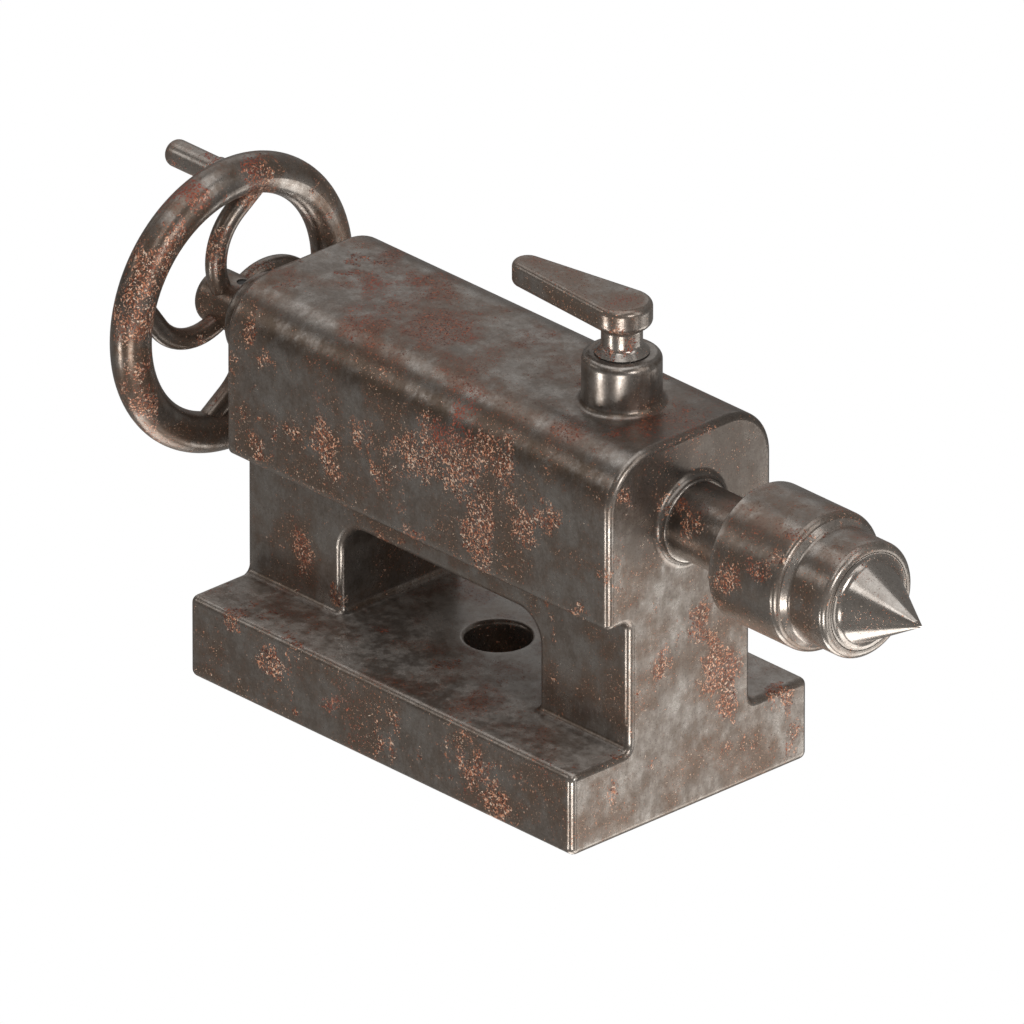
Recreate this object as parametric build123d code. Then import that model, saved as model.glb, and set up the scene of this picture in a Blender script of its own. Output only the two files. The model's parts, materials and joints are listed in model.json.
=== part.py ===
from build123d import *
import math
import os

# Machine tailstock with a live centre.  Millimetres, +Z up, +X along the spindle
# towards the centre's point.  The origin is on the base bolt's axis at the underside.

# ---- clearances and fits, all radial ------------------------------------------
RUNNING_GAP = 0.03
SCREW_GAP = 0.04
PRESS_GAP = 0.05
THREAD_GAP = 0.08
NUT_THREAD_GAP = 0.1
BALL_GAP = 0.05
RACE_GAP = 0.1

# ---- body casting -------------------------------------------------------------
BODY_LENGTH = 172.6
FRONT_X = BODY_LENGTH / 2
BACK_X = -BODY_LENGTH / 2
BASE_WIDTH = 100.3
BASE_HEIGHT = 28.1
PEDESTAL_WIDTH = 51.6
HOUSING_WIDTH = 69.2
HOUSING_BOTTOM_Z = 72.2
HOUSING_TOP_Z = 129.3
HOUSING_LOWER_EDGE_R = 1.3
HOUSING_SHOULDER_R = 18.1
CENTRE_HEIGHT = 100.0
CAST_CORNER_R = 2.6
CAST_EDGE_R = 2.3
CAST_FILLET_R = 2.5

WINDOW_FRONT_X = FRONT_X - 40.8
WINDOW_BACK_X = FRONT_X - 129.8
WINDOW_TOP_Z = 59.9
WINDOW_CORNER_R = 10.0
WINDOW_EDGE_R = 2.2

BOLT_HOLE_R = 6.75
BOLT_SEAT_R = 10.4
BOLT_SEAT_Z = 14.0
BOLT_SEAT_EDGE_R = 1.5

COLLAR_R = 13.9
COLLAR_LENGTH = 3.0
COLLAR_EDGE_R = 0.8
COLLAR_FILLET_R = 2.6

LEVER_X = FRONT_X - 30.8
LEVER_BOSS_R = 12.6
LEVER_BOSS_TOP_Z = HOUSING_TOP_Z + 16.9
LEVER_BOSS_EDGE_R = 2.6
LEVER_BOSS_FILLET_R = 2.5

# ---- quill and its nut --------------------------------------------------------
QUILL_R = 12.5
HEAD_X = FRONT_X + 31.6
SHANK_STAND_OFF = 5.0
QUILL_FRONT_X = HEAD_X - SHANK_STAND_OFF
QUILL_BACK_X = -40.0
QUILL_EDGE_R = 0.8
QUILL_CLEARANCE_R = 6.9
QUILL_TRAVEL_OUT = 30.0
QUILL_TRAVEL_IN = 24.0
NUT_SEAT_R = 9.0
NUT_LENGTH = 26.0
NUT_PIN_X = QUILL_BACK_X + NUT_LENGTH / 2
NUT_PIN_R = 1.5
KEYWAY_WIDTH = 6.2
KEYWAY_DEPTH = 3.0
KEYWAY_SPARE = 4.0
GUIDE_SCREW_X = 48.0
GUIDE_SCREW_R = 4.0
GUIDE_TIP_R = 2.95
GUIDE_SOCKET_FLATS = 4.0
GUIDE_SOCKET_DEPTH = 5.0

# ---- live centre; distances along it start at the head's back face ------------
TAPER_LARGE_R = 17.78 / 2
TAPER_PER_MM = 0.04995 / 2
TAPER_LENGTH = 64.0
TAPER_GAP = 0.01
HEAD_R = 23.0
HEAD_LENGTH = 30.0
HEAD_FRONT_EDGE_R = 2.4
REAR_WALL = 3.0
CAP_R = 19.1
CAP_END = 47.5
CAP_FRONT_EDGE_R = 2.3
CAP_BORE_R = 13.0
CAP_THREAD_R = 18.0
POINT_TIP = 71.4
POINT_HALF_ANGLE = 30.0
POINT_ROOT_R = 3.2
FLANGE_START = 42.0
FLANGE_R = 15.9
FLANGE_GAP = 0.25
NOSE_R = 12.5
JOURNAL_R = 8.5
TAIL_R = 4.0
TAIL_HOLE_GAP = 1.0
SEAL_START = 34.0
SEAL_END = 39.0
SEAL_SEAT_R = 15.5
SEAL_LIP_GAP = 0.12

# deep-groove ball bearing, 17 x 35 x 10
BEARING_START = 13.6
BEARING_END = 23.6
BEARING_MID = (BEARING_START + BEARING_END) / 2
BEARING_BORE_R = 17.5
RACE_EDGE = 1.4
BALL_PITCH_R = 13.0
BALL_R = 2.35
BALL_COUNT = 9
CAGE_HALF_WIDTH = 3.2
CAGE_HALF_WALL = 0.8

# thrust ball bearing, 15 x 28 x 9
THRUST_END = 12.4
THRUST_MID = (REAR_WALL + THRUST_END) / 2
THRUST_BORE_R = 14.1
THRUST_PITCH_R = 10.75
THRUST_BALL_R = 2.1
THRUST_BALL_COUNT = 10
THRUST_WASHER_THICKNESS = 3.1
WASHER_INNER_R = 7.5
WASHER_OUTER_R = 14.0
THRUST_CAGE_HALF_WIDTH = 0.7
THRUST_CAGE_HALF_WALL = 2.7
SNAP_RING_GROOVE = 0.5

# needle bearing, 8 x 12 x 10
NEEDLE_START = -12.0
NEEDLE_END = -2.0
NEEDLE_SHELL_R = 6.0
NEEDLE_SHELL_WALL = 0.45
NEEDLE_R = 0.72
NEEDLE_PITCH_R = 4.75
NEEDLE_COUNT = 14

# ---- leadscrew and its bearing ------------------------------------------------
SCREW_R = 6.0
SCREW_SEAT_R = 5.0
SCREW_COLLAR_R = 11.0
SCREW_COLLAR_LENGTH = 5.0
SCREW_FRONT_X = 21.0
REAR_BOSS_R = 14.2
REAR_BOSS_END_X = BACK_X - 23.1
REAR_BOSS_FLARE = 2.2
SPIGOT_R = 13.4
SPIGOT_LENGTH = 14.0
SCREW_BUSH_R = 8.0
BUSH_INSET = 1.0
WASHER_THICKNESS = 1.5
END_PLAY = 0.1
LOCK_SCREW_X = BACK_X + SPIGOT_LENGTH / 2
LOCK_SCREW_R = 3.0
LOCK_SCREW_LENGTH = 10.0
LOCK_SOCKET_FLATS = 3.0
LOCK_SOCKET_DEPTH = 4.0
SCREW_COLLAR_X = BACK_X + SPIGOT_LENGTH + WASHER_THICKNESS + END_PLAY
NUT_PIN_TOP = SCREW_R + 1.2

# ---- handwheel and crank handle -----------------------------------------------
WHEEL_X = BACK_X - 34.2
HUB_R = 8.9
HUB_START_X = REAR_BOSS_END_X - WASHER_THICKNESS - END_PLAY
HUB_END_X = BACK_X - 43.2
HUB_WALL = 5.0
RIM_R = 42.7
RIM_BAR_R = 6.55
SPOKE_BAR_R = 3.4
SPOKE_COUNT = 4
SPOKE_BEND_CENTRE = (13.0, 15.2)
SPOKE_BEND_R = 19.6
SPOKE_BEND_START = 209.0
SPOKE_BEND_END = 125.0
SPOKE_STRAIGHT = 14.5
KEY_PIN_X = BACK_X - 29.0
KEY_PIN_R = 2.0
GRIP_R = 4.45
GRIP_END_X = WHEEL_X - 27.2
GRIP_STEM_R = 2.5
GRIP_BORE_GAP = 0.06
STEM_SEAT_END_X = WHEEL_X + 4.5
HANDLE_PAD_R = GRIP_R + 0.4
HANDLE_PAD_X = WHEEL_X - RIM_BAR_R - 0.2
GRIP_START_X = HANDLE_PAD_X - 0.15
GRIP_BORE_END_X = GRIP_END_X + 4.0
GRIP_RING_X = GRIP_BORE_END_X + 3.0
GRIP_RING_GROOVE = 0.6

# ---- clamp lever, screw and pad -----------------------------------------------
LEVER_BOTTOM_Z = HOUSING_TOP_Z + 26.2
LEVER_TOP_Z = HOUSING_TOP_Z + 34.6
LEVER_EDGE_R = 2.2
LEVER_HUB_R = 9.6
LEVER_TIP_R = 5.0
LEVER_REACH = 39.9
LEVER_NECK_R = 6.5
LEVER_NECK_FLARE = 2.2
LEVER_HEAD_FLARE = 1.6
LEVER_REST_DEG = 183.0
LEVER_FOOT_GAP = 0.3
LEVER_FOOT_Z = LEVER_BOSS_TOP_Z + LEVER_FOOT_GAP
CLAMP_SCREW_R = 5.0
CLAMP_SCREW_STEM_R = CLAMP_SCREW_R - 1.0
CLAMP_SCREW_STEP_Z = LEVER_BOSS_TOP_Z + 1.0
CLAMP_SCREW_TOP_Z = LEVER_BOTTOM_Z + 4.5
CLAMP_PAD_R = 7.0
PAD_CLEARANCE = 0.3
PAD_BOTTOM_Z = CENTRE_HEIGHT + 8.0
PAD_TOP_Z = CENTRE_HEIGHT + QUILL_R + 7.0
PAD_BORE_SPARE = 2.0

OVERLAP = 1.0


def outline(*corners):
    """Closed face in a sketch plane; a corner is (a, b) or (a, b, corner radius)."""
    points = [corner[:2] for corner in corners]
    radii = [corner[2] if len(corner) == 3 else 0 for corner in corners]
    return make_face(FilletPolyline(*points, radius=radii, close=True))


def turned_x(*corners):
    """Solid turned about the spindle axis; corners are (x, radius[, corner radius])."""
    return Pos(0, 0, CENTRE_HEIGHT) * revolve(Plane.XZ * outline(*corners), Axis.X)


def turned_z(x, *corners):
    """Solid turned about the vertical line at x; corners are (radius, z[, corner radius])."""
    return Pos(x, 0, 0) * revolve(Plane.XZ * outline(*corners), Axis.Z)


def ring_x(start, end, inner, outer, chamfer_r=0.0):
    """Plain ring about the spindle axis with rounded outer corners."""
    return turned_x((start, inner), (end, inner), (end, outer, chamfer_r), (start, outer, chamfer_r))


def round_groove(middle, pitch_r, section_r):
    """Round-section ring about the spindle axis, to cut a ball race."""
    section = Plane.XZ * Pos(middle, pitch_r) * Circle(section_r)
    return Pos(0, 0, CENTRE_HEIGHT) * revolve(section, Axis.X)


def rod_x(start, end, radius):
    """Round bar along the spindle axis."""
    return Pos((start + end) / 2, 0, CENTRE_HEIGHT) * Rot(0, 90, 0) * Cylinder(radius, end - start)


def rod_y(x, start, end, radius):
    """Round bar along Y at the spindle's height."""
    return Pos(x, (start + end) / 2, CENTRE_HEIGHT) * Rot(90, 0, 0) * Cylinder(radius, end - start)


def rod_z(x, start, end, radius):
    """Round bar along Z in the middle plane."""
    return Pos(x, 0, (start + end) / 2) * Cylinder(radius, end - start)


def hex_socket_y(x, mouth, depth, across_flats):
    """Hexagonal prism along Y, for the drive socket of a screw whose end is at mouth."""
    hexagon = RegularPolygon(across_flats / math.sqrt(3), 6)
    return Pos(x, mouth - depth, CENTRE_HEIGHT) * Rot(-90, 0, 0) * extrude(hexagon, depth + OVERLAP)


# ---- body casting -------------------------------------------------------------
def casting_profile():
    """Cross-section of base, pedestal and housing, drawn in the YZ plane."""
    base = BASE_WIDTH / 2
    pedestal = PEDESTAL_WIDTH / 2
    housing = HOUSING_WIDTH / 2
    right = [
        (base, 0, CAST_CORNER_R),
        (base, BASE_HEIGHT, CAST_CORNER_R),
        (pedestal, BASE_HEIGHT),
        (pedestal, HOUSING_BOTTOM_Z, CAST_FILLET_R),
        (housing, HOUSING_BOTTOM_Z, HOUSING_LOWER_EDGE_R),
        (housing, HOUSING_TOP_Z, HOUSING_SHOULDER_R),
    ]
    left = [(-corner[0],) + corner[1:] for corner in reversed(right)]
    return Plane.YZ * outline(*right, *left)


def window_cutter():
    """Window through the pedestal, open down to the top of the base."""
    below = BASE_HEIGHT - 2 * WINDOW_CORNER_R
    face = Plane.XZ * outline(
        (WINDOW_BACK_X, below),
        (WINDOW_FRONT_X, below),
        (WINDOW_FRONT_X, WINDOW_TOP_Z, WINDOW_CORNER_R),
        (WINDOW_BACK_X, WINDOW_TOP_Z, WINDOW_CORNER_R),
    )
    prism = extrude(face, PEDESTAL_WIDTH, both=True)
    return prism - Pos(0, 0, BASE_HEIGHT / 2) * Box(BODY_LENGTH, 3 * BASE_WIDTH, BASE_HEIGHT)


def on_plane(shape, axis, value):
    """Edges of a shape that lie wholly in one plane square to an axis."""
    return [
        edge
        for edge in shape.edges()
        if abs(getattr(edge.bounding_box().min, axis) - value) < 1e-3
        and abs(getattr(edge.bounding_box().max, axis) - value) < 1e-3
    ]


def body_casting():
    body = extrude(casting_profile(), FRONT_X, both=True) - window_cutter()
    pedestal = PEDESTAL_WIDTH / 2

    def in_window(edge):
        centre = edge.center()
        return (
            WINDOW_BACK_X - 1 < centre.X < WINDOW_FRONT_X + 1
            and BASE_HEIGHT + 1 < centre.Z < WINDOW_TOP_Z + 1
        )

    sides = on_plane(body, "Y", pedestal) + on_plane(body, "Y", -pedestal)
    body = fillet([edge for edge in sides if in_window(edge)], WINDOW_EDGE_R)

    feet = [
        edge
        for edge in on_plane(body, "Z", BASE_HEIGHT)
        if abs(edge.center().Y) < pedestal + 0.1 and abs(edge.center().X) < FRONT_X - 0.1
    ]
    body = fillet(feet, CAST_FILLET_R)
    ends = on_plane(body, "X", FRONT_X) + on_plane(body, "X", BACK_X)
    body = fillet(ends, CAST_EDGE_R)

    collar = turned_x(
        (FRONT_X - OVERLAP, 0),
        (FRONT_X + COLLAR_LENGTH, 0),
        (FRONT_X + COLLAR_LENGTH, COLLAR_R, COLLAR_EDGE_R),
        (FRONT_X, COLLAR_R, COLLAR_FILLET_R),
        (FRONT_X, COLLAR_R + COLLAR_FILLET_R + OVERLAP),
        (FRONT_X - OVERLAP, COLLAR_R + COLLAR_FILLET_R + OVERLAP),
    )
    boss_foot = LEVER_BOSS_R + LEVER_BOSS_FILLET_R + OVERLAP
    lever_boss = turned_z(
        LEVER_X,
        (0, HOUSING_TOP_Z - OVERLAP),
        (boss_foot, HOUSING_TOP_Z - OVERLAP),
        (boss_foot, HOUSING_TOP_Z),
        (LEVER_BOSS_R, HOUSING_TOP_Z, LEVER_BOSS_FILLET_R),
        (LEVER_BOSS_R, LEVER_BOSS_TOP_Z, LEVER_BOSS_EDGE_R),
        (0, LEVER_BOSS_TOP_Z),
    )
    body = body + collar + lever_boss

    wall = HOUSING_WIDTH / 2 + OVERLAP
    bore_end = FRONT_X + COLLAR_LENGTH + OVERLAP
    quill_bore = ring_x(BACK_X - OVERLAP, bore_end, 0, QUILL_R + RUNNING_GAP)
    spigot_bore = ring_x(BACK_X - OVERLAP, BACK_X + SPIGOT_LENGTH, 0, SPIGOT_R)
    thread_r = CLAMP_SCREW_R + THREAD_GAP
    clamp_thread = rod_z(LEVER_X, CENTRE_HEIGHT, LEVER_BOSS_TOP_Z + OVERLAP, thread_r)
    pad_bore_r = CLAMP_PAD_R + 2 * RUNNING_GAP
    clamp_pad_bore = rod_z(LEVER_X, CENTRE_HEIGHT, PAD_TOP_Z + PAD_BORE_SPARE, pad_bore_r)
    guide_hole = rod_y(GUIDE_SCREW_X, 0, wall, GUIDE_SCREW_R + PRESS_GAP)
    lock_hole = rod_y(LOCK_SCREW_X, 0, wall, LOCK_SCREW_R + PRESS_GAP)
    bolt_hole = turned_z(
        0,
        (0, -OVERLAP),
        (BOLT_HOLE_R, -OVERLAP),
        (BOLT_HOLE_R, BOLT_SEAT_Z),
        (BOLT_SEAT_R, BOLT_SEAT_Z),
        (BOLT_SEAT_R, BASE_HEIGHT, BOLT_SEAT_EDGE_R),
        (BOLT_SEAT_R + 2 * BOLT_SEAT_EDGE_R, BASE_HEIGHT),
        (BOLT_SEAT_R + 2 * BOLT_SEAT_EDGE_R, BASE_HEIGHT + OVERLAP),
        (0, BASE_HEIGHT + OVERLAP),
    )
    for cutter in (quill_bore, spigot_bore, clamp_thread, clamp_pad_bore, guide_hole, lock_hole, bolt_hole):
        body = body - cutter
    return body


# ---- fixed pieces in the body -------------------------------------------------
def guide_screw():
    """Headless screw whose dog point runs in the quill's keyway."""
    tip_y = QUILL_R - KEYWAY_DEPTH + 0.4
    shoulder_y = QUILL_R + 0.6
    outer_y = HOUSING_WIDTH / 2 - 1.5
    screw = rod_y(GUIDE_SCREW_X, shoulder_y, outer_y, GUIDE_SCREW_R)
    tip = rod_y(GUIDE_SCREW_X, tip_y, shoulder_y + OVERLAP, GUIDE_TIP_R)
    return screw + tip - hex_socket_y(GUIDE_SCREW_X, outer_y, GUIDE_SOCKET_DEPTH, GUIDE_SOCKET_FLATS)


def lock_screw():
    """Headless screw that holds the rear bearing housing's spigot."""
    outer_y = SPIGOT_R + LOCK_SCREW_LENGTH
    screw = rod_y(LOCK_SCREW_X, SPIGOT_R - PRESS_GAP, outer_y, LOCK_SCREW_R)
    return screw - hex_socket_y(LOCK_SCREW_X, outer_y, LOCK_SOCKET_DEPTH, LOCK_SOCKET_FLATS)


def screw_bearing_housing():
    """Round boss behind the casting that carries the leadscrew's journal."""
    return turned_x(
        (BACK_X + SPIGOT_LENGTH, SCREW_BUSH_R),
        (BACK_X + SPIGOT_LENGTH, SPIGOT_R - PRESS_GAP, 0.5),
        (BACK_X, SPIGOT_R - PRESS_GAP),
        (BACK_X, REAR_BOSS_R + REAR_BOSS_FLARE),
        (BACK_X - REAR_BOSS_FLARE, REAR_BOSS_R, 2.0),
        (REAR_BOSS_END_X, REAR_BOSS_R, 1.6),
        (REAR_BOSS_END_X, SCREW_BUSH_R),
    )


def screw_bush():
    start = REAR_BOSS_END_X + BUSH_INSET
    end = BACK_X + SPIGOT_LENGTH - BUSH_INSET
    return ring_x(start, end, SCREW_R + SCREW_GAP, SCREW_BUSH_R)


def front_thrust_washer():
    start = BACK_X + SPIGOT_LENGTH
    return ring_x(start, start + WASHER_THICKNESS, SCREW_R + 0.2, SCREW_COLLAR_R, 0.3)


def rear_thrust_washer():
    start = REAR_BOSS_END_X - WASHER_THICKNESS
    return ring_x(start, REAR_BOSS_END_X, SCREW_R + 0.2, HUB_R + 0.8, 0.3)


# ---- leadscrew and handwheel --------------------------------------------------
def leadscrew():
    """Leadscrew with its thrust collar, journal and handwheel seat."""
    collar_end = SCREW_COLLAR_X + SCREW_COLLAR_LENGTH
    seat_end = HUB_END_X + HUB_WALL
    screw = turned_x(
        (SCREW_FRONT_X, 0),
        (SCREW_FRONT_X, SCREW_R, 1.5),
        (collar_end, SCREW_R),
        (collar_end, SCREW_COLLAR_R, 0.6),
        (SCREW_COLLAR_X, SCREW_COLLAR_R, 0.6),
        (SCREW_COLLAR_X, SCREW_R),
        (HUB_START_X, SCREW_R),
        (HUB_START_X, SCREW_SEAT_R),
        (seat_end, SCREW_SEAT_R, 0.8),
        (seat_end, 0),
    )
    return screw - key_pin_bar(HUB_R)


def key_pin_bar(half_length):
    """Round bar where the hub's pin is, for the pin itself and for its hole."""
    return rod_z(KEY_PIN_X, CENTRE_HEIGHT - half_length, CENTRE_HEIGHT + half_length, KEY_PIN_R)


def spoke(angle):
    """One round bar that leaves the hub in an arc and runs on straight into the rim."""
    bend = CenterArc(SPOKE_BEND_CENTRE, SPOKE_BEND_R, SPOKE_BEND_START, SPOKE_BEND_END - SPOKE_BEND_START)
    straight = Line(bend @ 1, (bend @ 1) + (bend % 1) * SPOKE_STRAIGHT)
    path = Plane.YZ * Wire([bend, straight])
    section = Plane(origin=path @ 0, z_dir=path % 0) * Circle(SPOKE_BAR_R)
    return Rot(angle, 0, 0) * sweep(section, path)


def rim():
    """Rim bar; its section is a square rounded until it is as good as round."""
    section = Plane.XZ * Pos(0, RIM_R) * RectangleRounded(2 * RIM_BAR_R, 2 * RIM_BAR_R, RIM_BAR_R - 0.02)
    return revolve(section, Axis.X)


def handwheel():
    """Round-bar rim, curved spokes and hub, cast in one piece."""
    wheel = rim()
    for index in range(SPOKE_COUNT):
        wheel = wheel + spoke(360 / SPOKE_COUNT * index)
    wheel = Pos(WHEEL_X, 0, CENTRE_HEIGHT) * wheel
    hub = turned_x(
        (HUB_START_X, 0),
        (HUB_START_X, HUB_R, 0.8),
        (HUB_END_X, HUB_R, 3.0),
        (HUB_END_X, 0),
    )
    handle_pad = on_grip_axis(
        turned_x(
            (HANDLE_PAD_X, 0),
            (HANDLE_PAD_X, HANDLE_PAD_R, 0.4),
            (WHEEL_X, HANDLE_PAD_R),
            (WHEEL_X, 0),
        )
    )
    screw_seat = rod_x(HUB_END_X + HUB_WALL - 0.4, HUB_START_X + OVERLAP, SCREW_SEAT_R + RUNNING_GAP)
    stem_seat = on_grip_axis(rod_x(HANDLE_PAD_X - OVERLAP, STEM_SEAT_END_X, GRIP_STEM_R))
    return wheel + hub + handle_pad - screw_seat - key_pin_bar(HUB_R + OVERLAP) - stem_seat


def handwheel_pin():
    """Plain pin that fixes the hub to the leadscrew, just below flush."""
    return key_pin_bar(HUB_R - 0.4)


# ---- crank handle -------------------------------------------------------------
def on_grip_axis(shape):
    """Move a shape turned about the spindle axis to the crank handle's axis."""
    return Pos(0, 0, RIM_R) * shape


def handle_stem():
    """Stem pressed into the rim; the handle turns on it."""
    stem = turned_x(
        (STEM_SEAT_END_X, 0),
        (STEM_SEAT_END_X, GRIP_STEM_R),
        (GRIP_RING_X + 1.1, GRIP_STEM_R),
        (GRIP_RING_X + 1.1, GRIP_STEM_R - GRIP_RING_GROOVE),
        (GRIP_RING_X, GRIP_STEM_R - GRIP_RING_GROOVE),
        (GRIP_RING_X, GRIP_STEM_R),
        (GRIP_BORE_END_X + 0.4, GRIP_STEM_R, 0.5),
        (GRIP_BORE_END_X + 0.4, 0),
    )
    return on_grip_axis(stem)


def crank_handle():
    """Plain round handle, closed and rounded at its free end."""
    bore_r = GRIP_STEM_R + GRIP_BORE_GAP
    groove_r = GRIP_STEM_R + GRIP_RING_GROOVE + 0.1
    handle = turned_x(
        (GRIP_START_X, bore_r),
        (GRIP_START_X, GRIP_R, 0.6),
        (GRIP_END_X, GRIP_R, 3.0),
        (GRIP_END_X, 0),
        (GRIP_BORE_END_X, 0),
        (GRIP_BORE_END_X, bore_r),
        (GRIP_RING_X - 0.1, bore_r),
        (GRIP_RING_X - 0.1, groove_r),
        (GRIP_RING_X + 1.2, groove_r),
        (GRIP_RING_X + 1.2, bore_r),
    )
    return on_grip_axis(handle)


def handle_snap_ring():
    """Split wire ring in the stem's groove that keeps the handle on."""
    ring = ring_x(GRIP_RING_X + 0.05, GRIP_RING_X + 1.05, GRIP_STEM_R - 0.5, GRIP_STEM_R + 0.5)
    gap = Pos(GRIP_RING_X + 0.5, 0, CENTRE_HEIGHT + GRIP_STEM_R) * Box(3, 1.2, 2.5)
    return on_grip_axis(ring - gap)


# ---- quill --------------------------------------------------------------------
def taper_radius(distance):
    """Radius of the taper at a distance behind the quill's front face."""
    return TAPER_LARGE_R - TAPER_PER_MM * distance


def keyway():
    """Round-ended slot on the quill's far side, as long as the travel."""
    start = GUIDE_SCREW_X - QUILL_TRAVEL_OUT - KEYWAY_SPARE
    end = GUIDE_SCREW_X + QUILL_TRAVEL_IN + KEYWAY_SPARE
    slot = extrude(SlotOverall(end - start, KEYWAY_WIDTH), KEYWAY_DEPTH + OVERLAP)
    return Pos((start + end) / 2, QUILL_R - KEYWAY_DEPTH, CENTRE_HEIGHT) * Rot(-90, 0, 0) * slot


def quill():
    """Sliding sleeve with the taper socket in front and the nut's seat behind."""
    socket_depth = TAPER_LENGTH + 3
    sleeve = turned_x(
        (QUILL_FRONT_X, taper_radius(0)),
        (QUILL_FRONT_X, QUILL_R, QUILL_EDGE_R),
        (QUILL_BACK_X, QUILL_R, QUILL_EDGE_R),
        (QUILL_BACK_X, NUT_SEAT_R),
        (QUILL_BACK_X + NUT_LENGTH, NUT_SEAT_R),
        (QUILL_BACK_X + NUT_LENGTH, QUILL_CLEARANCE_R),
        (QUILL_FRONT_X - socket_depth, QUILL_CLEARANCE_R),
        (QUILL_FRONT_X - socket_depth, taper_radius(socket_depth)),
    )
    return sleeve - keyway() - nut_pin_bar(QUILL_R + OVERLAP, NUT_PIN_TOP)


def nut_pin_bar(bottom, top):
    """Round bar below the axis where the nut's pin is; both ends are distances from the axis."""
    return rod_z(NUT_PIN_X, CENTRE_HEIGHT - bottom, CENTRE_HEIGHT - top, NUT_PIN_R)


def quill_nut():
    """Bronze nut pressed into the quill's rear end."""
    nut = turned_x(
        (QUILL_BACK_X, SCREW_R + NUT_THREAD_GAP, 0.8),
        (QUILL_BACK_X, NUT_SEAT_R, 0.5),
        (QUILL_BACK_X + NUT_LENGTH, NUT_SEAT_R, 0.5),
        (QUILL_BACK_X + NUT_LENGTH, SCREW_R + NUT_THREAD_GAP),
    )
    return nut - nut_pin_bar(QUILL_R, NUT_PIN_TOP)


def nut_pin():
    """Pin through the quill's wall into the nut, below flush."""
    return nut_pin_bar(QUILL_R - 0.4, NUT_PIN_TOP + 0.1)


# ---- live centre: fixed pieces ------------------------------------------------
def at_head(shape):
    """Move a shape made in the head's own distances to its place on the spindle."""
    return Pos(HEAD_X, 0, 0) * shape


def centre_body():
    """Taper shank and bearing head of the live centre."""
    shank_end = -SHANK_STAND_OFF - TAPER_LENGTH
    return at_head(
        turned_x(
            (shank_end, 0),
            (shank_end, taper_radius(TAPER_LENGTH) - TAPER_GAP, 1.2),
            (-SHANK_STAND_OFF, taper_radius(0) - TAPER_GAP),
            (0, taper_radius(-SHANK_STAND_OFF) - TAPER_GAP, 1.5),
            (0, HEAD_R, 0.8),
            (HEAD_LENGTH, HEAD_R, HEAD_FRONT_EDGE_R),
            (HEAD_LENGTH, CAP_THREAD_R),
            (BEARING_END, CAP_THREAD_R),
            (BEARING_END, BEARING_BORE_R),
            (BEARING_START, BEARING_BORE_R),
            (BEARING_START, THRUST_BORE_R),
            (REAR_WALL, THRUST_BORE_R),
            (REAR_WALL, TAIL_R + TAIL_HOLE_GAP),
            (NEEDLE_END, TAIL_R + TAIL_HOLE_GAP),
            (NEEDLE_END, NEEDLE_SHELL_R),
            (NEEDLE_START - 2, NEEDLE_SHELL_R),
            (NEEDLE_START - 2, 0),
        )
    )


def centre_cap():
    """Screwed ring in front of the head; it holds the bearing and the seal."""
    lip_r = BALL_PITCH_R + RACE_EDGE + 0.1
    foot_r = CAP_R + 1.9
    return at_head(
        turned_x(
            (BEARING_END, lip_r),
            (BEARING_END, CAP_THREAD_R - PRESS_GAP),
            (HEAD_LENGTH, CAP_THREAD_R - PRESS_GAP),
            (HEAD_LENGTH, foot_r),
            (HEAD_LENGTH + 0.05, foot_r),
            (HEAD_LENGTH + 1.9, CAP_R, 1.6),
            (CAP_END, CAP_R, CAP_FRONT_EDGE_R),
            (CAP_END, FLANGE_R + FLANGE_GAP),
            (FLANGE_START - FLANGE_GAP, FLANGE_R + FLANGE_GAP),
            (FLANGE_START - FLANGE_GAP, CAP_BORE_R),
            (SEAL_END, CAP_BORE_R),
            (SEAL_END, SEAL_SEAT_R),
            (SEAL_START, SEAL_SEAT_R),
            (SEAL_START, CAP_BORE_R),
            (BEARING_END + 1, CAP_BORE_R),
            (BEARING_END + 1, lip_r),
        )
    )


def nose_seal():
    """Rubber ring with two lips that clear the turning nose."""
    middle = (SEAL_START + SEAL_END) / 2
    lip_r = NOSE_R + SEAL_LIP_GAP
    return at_head(
        turned_x(
            (SEAL_START, SEAL_SEAT_R),
            (SEAL_START, lip_r + 0.3),
            (SEAL_START + 0.4, lip_r),
            (middle - 0.8, lip_r + 1.2),
            (middle + 0.8, lip_r + 1.2),
            (SEAL_END - 0.4, lip_r),
            (SEAL_END, lip_r + 0.3),
            (SEAL_END, SEAL_SEAT_R),
        )
    )


def bearing_outer_ring():
    ring = ring_x(BEARING_START, BEARING_END, BALL_PITCH_R + RACE_EDGE, BEARING_BORE_R, 0.5)
    return at_head(ring - round_groove(BEARING_MID, BALL_PITCH_R, BALL_R + RACE_GAP))


def bearing_inner_ring():
    ring = ring_x(BEARING_START, BEARING_END, JOURNAL_R, BALL_PITCH_R - RACE_EDGE)
    return at_head(ring - round_groove(BEARING_MID, BALL_PITCH_R, BALL_R + RACE_GAP))


def thrust_washer(start):
    """One grooved washer of the thrust bearing."""
    end = start + THRUST_WASHER_THICKNESS
    ring = ring_x(start, end, WASHER_INNER_R, WASHER_OUTER_R, 0.4)
    return at_head(ring - round_groove(THRUST_MID, THRUST_PITCH_R, THRUST_BALL_R + RACE_GAP))


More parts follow.
